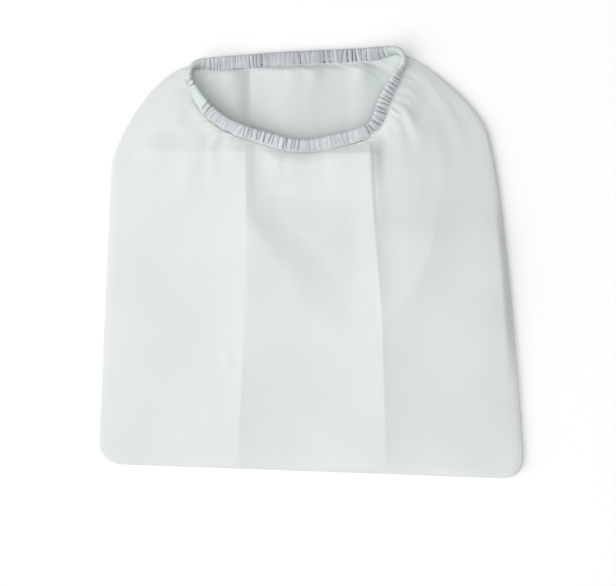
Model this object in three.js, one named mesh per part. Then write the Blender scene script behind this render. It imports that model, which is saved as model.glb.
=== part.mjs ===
// Reusable cloth dust bag with an elasticated mouth, lying empty on its back.
// Two cloth panels are sewn together round the sides and bottom, turned right side out, and gathered
// round the mouth by a flat elastic under an overlocked edging. The elastic holds the mouth ajar: the
// back lip lies on the table and the front lip stands off it.
// Millimetres. +Z is up, +Y runs from the bottom seam to the mouth, and +X is to the right.
import * as THREE from "three";

const lerp = THREE.MathUtils.lerp;
const radians = THREE.MathUtils.degToRad;

// The cut and the cloth
const bagWidth = 302; // seam to seam along the bottom
const bagLength = 300; // bottom seam to the free edge of the back lip
const cornerRadius = 17; // the two bottom corners
const clothThickness = 0.5;
const seamAllowance = 8; // cloth turned in along the seams
const allowanceStop = 0.9; // the allowances are clipped short of the mouth, as a share of the side

// How the empty bag lies
const shoulderHeight = 225; // where the side seams turn in towards the mouth
const shoulderWidth = 268; // seam to seam at that height
const shoulderShift = -8; // the shoulders have slid to the left by this much
const shoulderTilt = 25; // and the right one lies this much higher than the left
const sideBow = [0, 8]; // how far the left and the right side swell out below the shoulders
const bowPlace = 0.8; // how far up the sides they do
const shoulderRun = [0.31, 0.38]; // how far the sides run on above, as shares of the climb to the mouth
const cornerRun = [
  [0.28, 0.07],
  [0.32, -0.14],
]; // and how they come in to the mouth's corners: outwards and up, in the same shares
const bottomSlope = 11; // the right end of the bottom seam lies this much lower than the left
const loft = 9.5; // how far the front panel stands above its seams, at the fold ridges
const valleyDepth = 0.35; // share of the loft that the middle third sinks between the ridges
const sideFullness = 1.6; // how soon the front panel reaches its loft, from the side seams in,
const bottomFullness = 6; // from the bottom seam up,
const lipFullness = 8; // and from the lip down
const lipClimb = { front: 5, back: 24 }; // how late the panels climb to their lips

// The packing folds: the bag was folded in three, and the cloth stays pinched up along the folds
const folds = [0.34, 0.68]; // where they lie, as shares of the width
const creaseHeight = 1.4;
const creaseReach = 0.055; // to either side, as a share of the width

// The relaxed mouth, by its free edge; each pair is for its left and its right side
const mouthShift = -9.3; // the mouth has slid to the left by this much
const mouthWidth = 162; // corner to corner
const mouthDrop = 67; // the front lip sags this far below the back lip
const cornerDrop = [14, 1]; // and the corners lie this far below it
const frontLipSteepness = [57, 52.5].map(radians); // of the front lip where it leaves the corners
const frontLipPull = [0.71, 1.06]; // and how long it keeps that way, as shares of its sag
const dipSlope = [16.6, 12.5].map(radians); // of the front lip on the way to its lowest point
const dipPull = [0.285, 0.45]; // and how long it keeps that way, as shares of the mouth's width
const dipShift = 2; // the lowest point lies this far right of the middle
const backLipRise = [25.6, 5.2].map(radians); // of the back lip where it leaves the corners
const backLipPull = [0.167, 0.143]; // and how long it keeps that way, in the same shares
const cornerTurn = [10, 14]; // length of edging that goes into turning a corner, on either side of it
const dipTurn = 11; // and into turning at the lowest point
const frontLipLift = 11; // height of the edging's lower edge at the middle of the front lip
const endLift = 3.2; // and at the corners, where the edging stands on its edge
const endReach = 26; // how far from a corner the edging takes to lie down
const frontLipTilt = 0.3; // slope of the edging where the front panel climbs to it

// The edging: overlock thread over the cloth's raw edge and the elastic
const edgingWidth = 9.5;
const edgingWall = 0.6;
const ribHeight = 0.45; // the gathers stand this much proud of the edging
const ribsPerPucker = 4; // gathers in the edging for each pucker of the cloth
const elasticWidth = 6;
const elasticThickness = 0.9;
const rawEdgeInset = 1.5; // raw edge and elastic start this far inside the edging's rim

// The seam's own thread, wrapped over the raw edges of the allowances inside the bag
const threadThickness = 0.3;
const threadReach = 5; // how far the thread reaches from the raw edges

// Puckers that the elastic draws in the cloth
const puckerCount = 15; // on each panel
const puckerHeight = 1.3;
const puckerLength = 34; // how far they run down the panel

const clearance = 0.3; // between neighbouring pieces
const gatherSlack = 0.5; // and between the layers gathered inside the edging

// Heights of the layers stacked in the seam, from the table up
const backSheetZ = clothThickness / 2;
const lowerThreadZ = clothThickness + clearance;
const backAllowanceZ = lowerThreadZ + threadThickness + clearance + clothThickness / 2;
const frontAllowanceZ = backAllowanceZ + clothThickness + clearance;
const upperThreadZ = frontAllowanceZ + clothThickness / 2 + clearance;
const frontSheetZ = upperThreadZ + threadThickness + clearance + clothThickness / 2;

// The edging's section, across its thickness
const cavity = clothThickness + elasticThickness + 3 * gatherSlack;
const edgingHalf = cavity / 2 + edgingWall;
const clothOffset = -cavity / 2 + gatherSlack + clothThickness / 2;
const elasticOffset = clothOffset + clothThickness / 2 + gatherSlack;
const backLipLift = edgingHalf + ribHeight;
const clothExit = edgingWidth + 2 * clearance; // the cloth bends once it is clear of the edging

// The free edge of the mouth seen from above, as a closed path: along the front lip from left to
// right, round the right corner, back along the back lip and round the left corner.
function mouthPath() {
  const [left, right] = [-1, 1].map(
    (sign, i) => new THREE.Vector2(mouthShift + (sign * mouthWidth) / 2, bagLength - cornerDrop[i]),
  );
  const dip = new THREE.Vector2(mouthShift + dipShift, bagLength - mouthDrop);
  const towards = (from, angle, distance) =>
    new THREE.Vector2(Math.cos(angle), Math.sin(angle)).multiplyScalar(distance).add(from);
  const fromLeft = (distance) => towards(left, -frontLipSteepness[0], distance);
  const fromRight = (distance) => towards(right, Math.PI + frontLipSteepness[1], distance);
  const leftOfDip = (distance) => towards(dip, Math.PI - dipSlope[0], distance);
  const rightOfDip = (distance) => towards(dip, dipSlope[1], distance);
  const backFromRight = (distance) => towards(right, Math.PI - backLipRise[1], distance);
  const backFromLeft = (distance) => towards(left, backLipRise[0], distance);

  const path = new THREE.Path();
  const start = fromLeft(cornerTurn[0]);
  path.moveTo(start.x, start.y);
  const curveTo = (a, b, end) => path.bezierCurveTo(a.x, a.y, b.x, b.y, end.x, end.y);
  const roundTo = (corner, entry, exit) =>
    curveTo(entry.clone().lerp(corner, 0.5), exit.clone().lerp(corner, 0.5), exit);
  curveTo(fromLeft(frontLipPull[0] * mouthDrop), leftOfDip(dipPull[0] * mouthWidth), leftOfDip(dipTurn));
  roundTo(dip, leftOfDip(dipTurn), rightOfDip(dipTurn));
  const frontEnd = fromRight(cornerTurn[1]);
  curveTo(rightOfDip(dipPull[1] * mouthWidth), fromRight(frontLipPull[1] * mouthDrop), frontEnd);
  roundTo(right, frontEnd, backFromRight(cornerTurn[1]));
  const backEnd = backFromLeft(cornerTurn[0]);
  const pulls = backLipPull.map((share) => share * mouthWidth);
  curveTo(backFromRight(pulls[1]), backFromLeft(pulls[0]), backEnd);
  roundTo(left, backEnd, start);
  return path;
}
const mouth = mouthPath();
const [, , lengthToRight, lengthToBack, lengthToLeft, mouthLength] = mouth.getCurveLengths();
const leftEnd = (lengthToLeft + mouthLength) / 2;
const rightEnd = (lengthToRight + lengthToBack) / 2;
const frontLipLength = rightEnd + mouthLength - leftEnd;
const backLipLength = leftEnd - rightEnd;

// Places across a panel and its lip are counted in thirds of the folded bag, so that the folds are
// at 1/3 and 2/3; this gives the share of the width there.
function widthShare(across) {
  const stops = [0, ...folds, 1];
  const third = Math.min(2, Math.floor(3 * across));
  return lerp(stops[third], stops[third + 1], 3 * across - third);
}

// A place on the mouth is its distance round it from the middle of the left corner: first along the
// front lip, then back along the back lip.
const frontLip = { length: frontLipLength, placeAt: (share) => frontLipLength * share };
const backLip = { length: backLipLength, placeAt: (share) => mouthLength - backLipLength * share };

// 1 where the edging stands on its edge, in the corners of the mouth, and 0 where it lies flat.
function upright(place) {
  const away = Math.min(
    Math.abs(place),
    Math.abs(place - frontLipLength),
    Math.abs(place - mouthLength),
  );
  return Math.exp(-((away / endReach) ** 2));
}

function ringPoint(place) {
  const onFront = place > 0 && place < frontLipLength;
  const share = (((leftEnd + place) / mouthLength) % 1 + 1) % 1;
  const plan = mouth.getPoint(share);
  const up = upright(place);
  const lift = lerp(onFront ? frontLipLift : backLipLift, endLift, up);
  const lean = lerp(onFront ? frontLipTilt : 0, 1, up);
  return new THREE.Vector3(plan.x, plan.y, lift + edgingWidth * lean);
}

// The edging's own axes at a place: along the mouth, into the bag, and down the cloth.
function ringFrame(place) {
  const step = 0.2;
  const onFront = place > 0 && place < frontLipLength;
  const at = ringPoint(place);
  const along = ringPoint(place + step).sub(ringPoint(place - step)).normalize();
  const lean = lerp(onFront ? frontLipTilt : 0, 1, upright(place));
  const inward = new THREE.Vector3(-along.y, along.x, 0).setLength(lean);
  inward.z = (onFront ? -1 : 1) * Math.sqrt(1 - lean * lean);
  inward.addScaledVector(along, -inward.dot(along)).normalize();
  const down = new THREE.Vector3().crossVectors(inward, along).normalize();
  return { at, down, inward };
}

// A point of the edging's section: width is measured down the cloth, height into the bag.
function sectionPoint({ at, down, inward }, width, height) {
  return at.clone().addScaledVector(down, width).addScaledVector(inward, height);
}

// Where a panel's cloth leaves the edging, or another width within it.
function lipPoint(lip, across, width = clothExit) {
  return sectionPoint(ringFrame(lip.placeAt(widthShare(across))), width, clothOffset);
}

// The seam seen from above: a U from the left corner of the mouth round the bottom to the right one.
function seamPath() {
  const mouthEnds = [lipPoint(frontLip, 0), lipPoint(frontLip, 1)];
  const [left, right] = [-1, 1].map((sign, i) => {
    const bottom = new THREE.Vector2((sign * bagWidth) / 2, (-sign * bottomSlope) / 2);
    const shoulder = new THREE.Vector2(
      (sign * shoulderWidth) / 2 + shoulderShift,
      shoulderHeight + (sign * shoulderTilt) / 2,
    );
    const bow = bottom.clone().lerp(shoulder, bowPlace);
    bow.x += sign * sideBow[i];
    const end = new THREE.Vector2(mouthEnds[i].x, mouthEnds[i].y);
    const climb = end.y - shoulder.y;
    const low = shoulder.clone().sub(bow).setLength(shoulderRun[i] * climb).add(shoulder);
    const [outwards, upwards] = cornerRun[i];
    const high = new THREE.Vector2(sign * outwards, upwards).multiplyScalar(climb).add(end);
    return { bottom, bow, shoulder, end, low, high };
  });
  const path = new THREE.Path();
  path.moveTo(left.end.x, left.end.y);
  const curveTo = (a, b, end) => path.bezierCurveTo(a.x, a.y, b.x, b.y, end.x, end.y);
  curveTo(left.high, left.low, left.shoulder);
  const bowTo = (bow, end) => path.quadraticCurveTo(bow.x, bow.y, end.x, end.y);
  const nearCorner = (corner, other) =>
    other.clone().sub(corner).setLength(cornerRadius).add(corner);
  bowTo(left.bow, nearCorner(left.bottom, left.bow));
  bowTo(left.bottom, nearCorner(left.bottom, right.bottom));
  const cornerStart = nearCorner(right.bottom, left.bottom);
  path.lineTo(cornerStart.x, cornerStart.y);
  bowTo(right.bottom, nearCorner(right.bottom, right.bow));
  bowTo(right.bow, right.shoulder);
  curveTo(right.low, right.high, right.end);
  return path;
}
const seam = seamPath();
const [, leftFoot, leftCorner, bottomEnd, rightCorner, , seamLength] = seam.getCurveLengths();
const leftBottom = (leftFoot + leftCorner) / 2 / seamLength;
const rightBottom = (bottomEnd + rightCorner) / 2 / seamLength;
const seamShare = {
  left: (up) => leftBottom * (1 - up),
  right: (up) => lerp(rightBottom, 1, up),
  bottom: (across) => lerp(leftBottom, rightBottom, widthShare(across)),
};

// A point of a panel seen from above, between its bottom, its two side seams and its lip.
function panelPlan(lip, across, up) {
  const sideways = widthShare(across);
  const blend = (key) => {
    const seamAt = (share) => seam.getPoint(share)[key];
    const edges =
      lerp(seamAt(seamShare.bottom(across)), lipPoint(lip, across)[key], up) +
      lerp(seamAt(seamShare.left(up)), seamAt(seamShare.right(up)), sideways);
    const low = lerp(seamAt(leftBottom), seamAt(rightBottom), sideways);
    const high = lerp(lipPoint(lip, 0)[key], lipPoint(lip, 1)[key], sideways);
    return edges - lerp(low, high, up);
  };
  return new THREE.Vector2(blend("x"), blend("y"));
}

// The cloth pinched up along the packing folds.
function crease(across) {
  const away = Math.min(Math.abs(across - 1 / 3), Math.abs(across - 2 / 3));
  return creaseHeight * Math.max(0, 1 - away / creaseReach) ** 2;
}

// Share of the loft across the front panel: up to a ridge at each packing fold, down between them.
function foldProfile(across) {
  const between = 3 * across - 1;
  if (between >= 0 && between <= 1) return 1 - valleyDepth * 4 * between * (1 - between);
  const toSeam = 3 * Math.min(across, 1 - across);
  return 1 - (1 - toSeam) ** sideFullness;
}

// 0 at the bottom seam and at the lip, 1 over the body of a panel.
function bodyShare(up) {
  return (1 - (1 - up) ** bottomFullness) * (1 - up ** lipFullness);
}

// Soft puckers that start under the edging and fade down the panel.
function pucker(across, distance) {
  const fade = Math.max(0, 1 - distance / puckerLength) ** 2 * (1 - Math.exp(-distance / 2));
  const swell = 0.75 + 0.25 * Math.sin(2 * Math.PI * (3.3 * across + 0.15));
  const wave = 0.5 - 0.5 * Math.cos(2 * Math.PI * puckerCount * across);
  const atSeam = Math.min(1, 12 * across, 12 * (1 - across));
  return puckerHeight * 2 * fade * swell * wave * atSeam;
}

function frontPoint(across, up) {
  const plan = panelPlan(frontLip, across, up);
  const lip = lipPoint(frontLip, across);
  const distance = Math.hypot(plan.x - lip.x, plan.y - lip.y);
  const puff = (loft * foldProfile(across) + crease(across)) * bodyShare(up);
  const z = lerp(frontSheetZ, lip.z, up ** lipClimb.front) + puff + pucker(across, distance);
  return new THREE.Vector3(plan.x, plan.y, z);
}

function backPoint(across, up) {
  const plan = panelPlan(backLip, across, up);
  const lip = lipPoint(backLip, across);
  const distance = Math.hypot(plan.x - lip.x, plan.y - lip.y);
  const ridge = crease(across) * bodyShare(up);
  const z = lerp(backSheetZ, lip.z, up ** lipClimb.back) + ridge + pucker(across, distance);
  return new THREE.Vector3(plan.x, plan.y, z);
}

// The places across a panel: few over its body, and four to a pucker near the mouth.
const nearSeam = [0, 0.02, 0.045, 0.1, 0.16, 0.22];
const bodyPlaces = [
  ...nearSeam,
  ...[1, 2].flatMap((fold) => [-1, -0.5, 0, 0.5, 1].map((side) => fold / 3 + side * creaseReach)),
  0.5,
  ...nearSeam.map((place) => 1 - place),
].sort((a, b) => a - b);
const mouthPlaces = Array.from({ length: 4 * puckerCount + 1 }, (_, i) => i / (4 * puckerCount));
const bodyRows = [0, 0.02, 0.045, 0.1, 0.19, 0.33, 0.49, 0.63, 0.73, 0.81];
const mouthRows = [0.87, 0.915, 0.95, 0.975];
const lipWidths = [clothExit, (clothExit + rawEdgeInset) / 2, rawEdgeInset];

// The plan of the seam where the allowances run, with the way in from it.
const clippedRows = [...bodyRows.slice(1), ...mouthRows].filter((up) => up <= allowanceStop);
const seamBorder = [
  ...clippedRows.map(seamShare.left).reverse(),
  ...bodyPlaces.map(seamShare.bottom),
  ...clippedRows.map(seamShare.right),
].map((share) => {
  const way = seam.getTangent(share);
  return { at: seam.getPoint(share), inwards: new THREE.Vector2(-way.y, way.x) };
});
const insetFromSeam = ({ at, inwards }, inset, z) =>
  new THREE.Vector3(at.x + inwards.x * inset, at.y + inwards.y * inset, z);

// Triangles between two rows of points, each with its own places across.
function zip(lower, upper, triangles) {
  let i = 0;
  let j = 0;
  while (i < lower.length - 1 || j < upper.length - 1) {
    const stepLower = i < lower.length - 1 ? lower[i + 1].across : Infinity;
    const stepUpper = j < upper.length - 1 ? upper[j + 1].across : Infinity;
    if (stepLower <= stepUpper) {
      triangles.push([lower[i].index, lower[i + 1].index, upper[j].index]);
      i += 1;
    } else {
      triangles.push([lower[i].index, upper[j + 1].index, upper[j].index]);
      j += 1;
    }
  }
}

// Gives a surface its thickness: each point goes half of it either way along the normal, and the
// open borders are closed by a rim.
function thicken(points, triangles, thickness) {
  const surface = new THREE.BufferGeometry().setFromPoints(points);
  surface.setIndex(triangles.flat());
  surface.computeVertexNormals();
  const normal = new THREE.Vector3();
  const faces = [1, -1].flatMap((sign) =>
    points.map((point, i) => {
      normal.fromBufferAttribute(surface.getAttribute("normal"), i);
      return point.clone().addScaledVector(normal, (sign * thickness) / 2);
    }),
  );
  const under = points.length;
  const edges = new Set(triangles.flatMap(([a, b, c]) => [`${a},${b}`, `${b},${c}`, `${c},${a}`]));
  const index = [];
  for (const [a, b, c] of triangles) {
    index.push(a, b, c, under + a, under + c, under + b);
    for (const [from, to] of [[a, b], [b, c], [c, a]]) {
      if (!edges.has(`${to},${from}`)) {
        index.push(from, under + from, to, to, under + from, under + to);
      }
    }
  }
  return new THREE.BufferGeometry().setFromPoints(faces).setIndex(index);
}

// One panel: its body, its lip up to the raw edge inside the edging, and the turned-in allowance.
// facing is 1 on the front panel, whose right side looks up, and -1 on the back.
function panel(lip, pointAt, sheetZ, allowanceZ, facing) {
  const points = [];
  const triangles = [];
  const add = (point, across = 0) => {
    points.push(point);
    return { index: points.length - 1, across };
  };
  const cornerGap = (clothThickness / 2 + clearance) / lip.length;
  const inLip = (across) => lerp(cornerGap, 1 - cornerGap, across);
  const rows = [
    ...bodyRows.map((up) => bodyPlaces.map((across) => add(pointAt(across, up), across))),
    ...mouthRows.map((up) => mouthPlaces.map((across) => add(pointAt(across, up), across))),
    ...lipWidths.map((width) =>
      mouthPlaces.map((across) => add(lipPoint(lip, inLip(across), width), across)),
    ),
  ];
  for (let i = 0; i < rows.length - 1; i += 1) zip(rows[i], rows[i + 1], triangles);

  // The allowance folds round the seam and lies under the panel's own edge.
  const sides = rows.slice(1, clippedRows.length + 1);
  const border = [
    ...sides.map((row) => row[0]).reverse(),
    ...rows[0],
    ...sides.map((row) => row[row.length - 1]),
  ];
  const turnRadius = Math.abs(sheetZ - allowanceZ) / 2;
  const turned = [
    [-turnRadius, (sheetZ + allowanceZ) / 2],
    [0, allowanceZ],
    [seamAllowance, allowanceZ],
  ].map(([inset, z]) => seamBorder.map((spot) => add(insetFromSeam(spot, inset, z))));
  [border, ...turned].forEach((near, i, all) => {
    if (i === all.length - 1) return;
    const far = all[i + 1];
    for (let k = 0; k < near.length - 1; k += 1) {
      const [a, b, c, d] = [near[k], near[k + 1], far[k + 1], far[k]].map((spot) => spot.index);
      triangles.push([a, c, b], [a, d, c]);
    }
  });
  const outward = facing > 0 ? triangles : triangles.map(([a, b, c]) => [a, c, b]);
  return thicken(points, outward, clothThickness);
}

// A sweep of sections, each the same loop of points; an open sweep is capped at both ends.
function sweep(sections, closed) {
  const size = sections[0].length;
  const index = [];
  const spans = closed ? sections.length : sections.length - 1;
  for (let i = 0; i < spans; i += 1) {
    const next = (i + 1) % sections.length;
    for (let k = 0; k < size; k += 1) {
      const after = (k + 1) % size;
      const [a, b] = [i * size + k, i * size + after];
      const [c, d] = [next * size + after, next * size + k];
      index.push(a, b, c, a, c, d);
    }
  }
  return { geometry: new THREE.BufferGeometry().setFromPoints(sections.flat()), index };
}

// Places round the whole mouth, evenly spaced along each lip.
function ringPlaces(perLip) {
  const shares = Array.from({ length: perLip }, (_, i) => i / perLip);
  return [
    ...shares.map((share) => frontLip.placeAt(share)),
    ...shares.map((share) => backLip.placeAt(1 - share)),
  ];
}

// The gathered edging: a channel over the cloth's raw edge and the elastic, ribbed by its gathers.
function edging() {
  const sections = ringPlaces(2 * ribsPerPucker * puckerCount).map((place, i) => {
    const frame = ringFrame(place);
    const swell = 0.7 + 0.3 * Math.sin(1.7 * i);
    const crest = edgingHalf + (i % 2 ? ribHeight * swell : 0);
    return [
      [0, -crest],
      [edgingWidth, -crest],
      [edgingWidth, -cavity / 2],
      [edgingWall, -cavity / 2],
      [edgingWall, cavity / 2],
      [edgingWidth, cavity / 2],
      [edgingWidth, crest],
      [0, crest],
    ].map(([width, height]) => sectionPoint(frame, width, height));
  });
  const { geometry, index } = sweep(sections, true);
  return geometry.setIndex(index);
}

// The flat elastic that draws the mouth together, inside the edging.
function elastic() {
  const sections = ringPlaces(ribsPerPucker * puckerCount).map((place) => {
    const frame = ringFrame(place);
    return [
      [rawEdgeInset, elasticOffset],
      [rawEdgeInset + elasticWidth, elasticOffset],
      [rawEdgeInset + elasticWidth, elasticOffset + elasticThickness],
      [rawEdgeInset, elasticOffset + elasticThickness],
    ].map(([width, height]) => sectionPoint(frame, width, height));
  });
  const { geometry, index } = sweep(sections, true);
  return geometry.setIndex(index);
}

// The thread over the raw edges of both allowances, all along the seam inside the bag.
function seamThread() {
  const web = seamAllowance + clearance;
  const reach = seamAllowance - threadReach;
  const loop = [
    [reach, lowerThreadZ],
    [web + threadThickness, lowerThreadZ],
    [web + threadThickness, upperThreadZ + threadThickness],
    [reach, upperThreadZ + threadThickness],
    [reach, upperThreadZ],
    [web, upperThreadZ],
    [web, lowerThreadZ + threadThickness],
    [reach, lowerThreadZ + threadThickness],
  ];
  const sections = seamBorder.map((spot) => loop.map(([inset, z]) => insetFromSeam(spot, inset, z)));
  const { geometry, index } = sweep(sections, false);
  const cap = THREE.ShapeUtils.triangulateShape(loop.map(([x, y]) => new THREE.Vector2(x, y)), []);
  const last = (sections.length - 1) * loop.length;
  for (const [a, b, c] of cap) index.push(a, c, b, last + a, last + b, last + c);
  return geometry.setIndex(index);
}

const cloth = new THREE.MeshStandardMaterial({ color: 0xe6eae8, roughness: 0.95, metalness: 0 });
const thread = new THREE.MeshStandardMaterial({ color: 0xc9ccd4, roughness: 0.9, metalness: 0 });
const rubber = new THREE.MeshStandardMaterial({ color: 0xdcdcdc, roughness: 0.8, metalness: 0 });

function piece(name, geometry, material) {
  const flat = geometry.toNonIndexed();
  flat.computeVertexNormals();
  const mesh = new THREE.Mesh(flat, material);
  mesh.name = name;
  return mesh;
}

const bag = new THREE.Group();
bag.add(
  piece("front_panel", panel(frontLip, frontPoint, frontSheetZ, frontAllowanceZ, 1), cloth),
  piece("back_panel", panel(backLip, backPoint, backSheetZ, backAllowanceZ, -1), cloth),
  piece("mouth_edging", edging(), thread),
  piece("elastic_band", elastic(), rubber),
  piece("seam_thread", seamThread(), thread),
);

// The origin is at the middle of the bag's box, on the table.
const box = new THREE.Box3().setFromObject(bag);
const middle = box.getCenter(new THREE.Vector3());
bag.position.set(-middle.x, -middle.y, -box.min.z);
const part = new THREE.Group();
part.add(bag);

export default part;
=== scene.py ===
import math

import bpy
import numpy as np
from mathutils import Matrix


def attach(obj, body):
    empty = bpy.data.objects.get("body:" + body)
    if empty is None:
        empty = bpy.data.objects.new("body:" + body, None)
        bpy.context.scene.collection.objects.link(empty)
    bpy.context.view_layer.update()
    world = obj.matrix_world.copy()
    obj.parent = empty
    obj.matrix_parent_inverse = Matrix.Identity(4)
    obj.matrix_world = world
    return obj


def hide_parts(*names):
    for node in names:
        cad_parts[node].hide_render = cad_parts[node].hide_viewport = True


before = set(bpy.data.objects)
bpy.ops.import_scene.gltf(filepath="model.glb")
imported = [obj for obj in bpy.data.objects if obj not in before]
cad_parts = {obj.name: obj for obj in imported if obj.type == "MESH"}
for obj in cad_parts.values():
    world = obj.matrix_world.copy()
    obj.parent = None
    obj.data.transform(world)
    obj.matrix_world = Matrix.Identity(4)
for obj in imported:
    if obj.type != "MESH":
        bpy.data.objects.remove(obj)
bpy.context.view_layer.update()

# Reusable cloth dust bag with a gathered elastic mouth, lying empty on its back.
# The panels, the edging and its thread are built in millimetres from the same measures as the solids,
# counted from the middle of the bottom seam, and are then moved into the frame in metres.
chance = np.random.default_rng(41)

# The cut and the cloth
BAG_WIDTH = 302.0
BAG_LENGTH = 300.0
CORNER_RADIUS = 17.0
CLOTH = 0.5
SEAM_ALLOWANCE = 8.0
SEAM_MIDDLE = (0.1995, -148.3185)  # the middle of the bottom seam in the frame

# How the bag lies; each pair is for its left and its right side
SHOULDER_HEIGHT = 225.0
SHOULDER_WIDTH = 268.0
SHOULDER_SHIFT = -8.0
SHOULDER_TILT = 25.0  # how much higher the right shoulder lies
SIDE_BOW = (0.0, 8.0)
BOW_PLACE = 0.8  # a share of the way up to the shoulder
SHOULDER_RUN = (0.31, 0.38)  # pulls of the shoulder's curve, as shares of its climb
CORNER_RUN = ((0.28, 0.07), (0.32, -0.14))
BOTTOM_SLOPE = 11.0  # how much lower the right bottom corner lies
FOLDS = (0.34, 0.68)  # their places, as shares of the width
FRONT_Z = 3.85  # the height of each panel at the seam
BACK_Z = 0.25
FRONT_CLIMB = 5  # how late each panel climbs to its lip, as a power of the way up
BACK_CLIMB = 24
ALLOWANCE_GAP = 0.4  # half the gap between the allowances of both panels

# The packing folds from above, from the bottom seam up to the mouth
LEFT_FOLD = (
    (-52.4, 0), (-51.6, 17.5), (-46.0, 128), (-46.2, 190), (-46.6, 225), (-43.4, 252), (-42.8, 300),
)
RIGHT_FOLD = ((53.5, 0), (49.8, 107), (44.3, 180), (41.6, 234), (41.4, 300))

# The relaxed mouth; the pulls shape its curves, as shares of its drop or its width
MOUTH_SHIFT = -9.3
MOUTH_WIDTH = 162.0
MOUTH_DROP = 67.0
CORNER_DROP = (14.0, 1.0)
FRONT_STEEPNESS = (math.radians(57), math.radians(52.5))
FRONT_PULL = (0.71, 1.06)
DIP_SLOPE = (math.radians(16.6), math.radians(12.5))
DIP_PULL = (0.285, 0.45)
DIP_SHIFT = 2.0
BACK_RISE = (math.radians(25.6), math.radians(5.2))
BACK_PULL = (0.167, 0.143)
CORNER_TURN = (10.0, 14.0)
DIP_TURN = 11.0
FRONT_LIFT = 11.0  # the height of the edging's lower edge, here and in the next two
BACK_LIFT = 2.5
END_LIFT = 3.2
END_REACH = 26.0  # how far from its ends the edging stands upright
FRONT_TILT = 0.3

# The edging, its gathers and its thread
EDGING_WIDTH = 9.5
EDGING_HALF = 2.05  # half its thickness
CLOTH_OFFSET = -0.7  # the cloth inside it, from its middle
CLOTH_EXIT = 10.1  # down from the rim, as is the raw edge
RAW_EDGE = 1.5
RIB_STEP = 3.0
RIB_DEPTH = 1.5
RIB_SHARPNESS = 0.55
THREAD = 0.17  # its radius


def lerp(a, b, t):
    return a + (b - a) * t


def smooth(low, high, x):
    t = np.clip((x - low) / (high - low), 0, 1)
    return t * t * (3 - 2 * t)


def window(rise, fall, x):
    """One from the end of the rise to the start of the fall, and nought outside both."""
    return smooth(*rise, x) * (1 - smooth(*fall, x))


def bell(x):
    return np.exp(-(x**2))


def table(rows, x):
    """The value at x, in rows of a place and a value."""
    places, values = zip(*rows)
    return np.interp(x, places, values)


def fold_x(line, y):
    return np.interp(y, [spot[1] for spot in line], [spot[0] for spot in line])


def unit(v):
    return v / np.maximum(np.linalg.norm(v, axis=-1, keepdims=True), 1e-12)


def waves(x, y, length, seed, count=9):
    """A smooth uneven field of about -1 to 1, with bumps about that length across."""
    rng = np.random.default_rng(seed)
    total = np.zeros(np.broadcast(x, y).shape)
    for _ in range(count):
        turn = rng.uniform(0, 2 * np.pi)
        size = length * rng.uniform(0.7, 1.5)
        along = (x * np.cos(turn) + y * np.sin(turn)) / size
        total += np.cos(2 * np.pi * along + rng.uniform(0, 2 * np.pi))
    return total / math.sqrt(count) / 1.2


def bezier(points, steps=400):
    t = np.linspace(0, 1, steps)[:, None]
    rows = [np.asarray(p, float) + 0 * t for p in points]
    while len(rows) > 1:
        rows = [lerp(a, b, t) for a, b in zip(rows, rows[1:])]
    return rows[0]


class Outline:
    """A plane line of several pieces, found by the distance along it."""

    def __init__(self, pieces):
        self.points = pieces[0][:1]
        stops = []
        for piece in pieces:
            self.points = np.vstack([self.points, piece[1:]])
            stops.append(len(self.points) - 1)
        steps = np.linalg.norm(np.diff(self.points, axis=0), axis=1)
        self.run = np.concatenate([[0.0], np.cumsum(steps)])
        self.length = self.run[-1]
        self.ends = self.run[stops]

    def at(self, distance):
        return np.stack([np.interp(distance, self.run, self.points[:, k]) for k in (0, 1)], -1)


def towards(start, angle, distance):
    return np.asarray(start) + distance * np.array([math.cos(angle), math.sin(angle)])


def mouth_outline():
    """The mouth's free edge from above: the front lip, the right corner, the back lip, the left corner."""
    left, right = (
        np.array([MOUTH_SHIFT + sign * MOUTH_WIDTH / 2, BAG_LENGTH - drop])
        for sign, drop in zip((-1, 1), CORNER_DROP)
    )
    dip = np.array([MOUTH_SHIFT + DIP_SHIFT, BAG_LENGTH - MOUTH_DROP])

    def from_left(distance):
        return towards(left, -FRONT_STEEPNESS[0], distance)

    def from_right(distance):
        return towards(right, math.pi + FRONT_STEEPNESS[1], distance)

    def left_of_dip(distance):
        return towards(dip, math.pi - DIP_SLOPE[0], distance)

    def right_of_dip(distance):
        return towards(dip, DIP_SLOPE[1], distance)

    def round_off(corner, entry, leave):
        return bezier([entry, (entry + corner) / 2, (leave + corner) / 2, leave])

    start, front_end = from_left(CORNER_TURN[0]), from_right(CORNER_TURN[1])
    dip_in, dip_out = left_of_dip(DIP_TURN), right_of_dip(DIP_TURN)
    back_start = towards(right, math.pi - BACK_RISE[1], CORNER_TURN[1])
    back_end = towards(left, BACK_RISE[0], CORNER_TURN[0])
    return Outline([
        bezier([
            start,
            from_left(FRONT_PULL[0] * MOUTH_DROP),
            left_of_dip(DIP_PULL[0] * MOUTH_WIDTH),
            dip_in,
        ]),
        round_off(dip, dip_in, dip_out),
        bezier([
            dip_out,
            right_of_dip(DIP_PULL[1] * MOUTH_WIDTH),
            from_right(FRONT_PULL[1] * MOUTH_DROP),
            front_end,
        ]),
        round_off(right, front_end, back_start),
        bezier([
            back_start,
            towards(right, math.pi - BACK_RISE[1], BACK_PULL[1] * MOUTH_WIDTH),
            towards(left, BACK_RISE[0], BACK_PULL[0] * MOUTH_WIDTH),
            back_end,
        ]),
        round_off(left, back_end, start),
    ])


mouth = mouth_outline()
left_end = (mouth.ends[4] + mouth.length) / 2
right_end = (mouth.ends[2] + mouth.ends[3]) / 2
front_length = right_end + mouth.length - left_end
back_length = left_end - right_end


def width_share(across):
    """The share of the width at a place counted in thirds, so that the folds are at 1/3 and 2/3."""
    return np.interp(across, [0, 1 / 3, 2 / 3, 1], [0, *FOLDS, 1])


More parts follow.
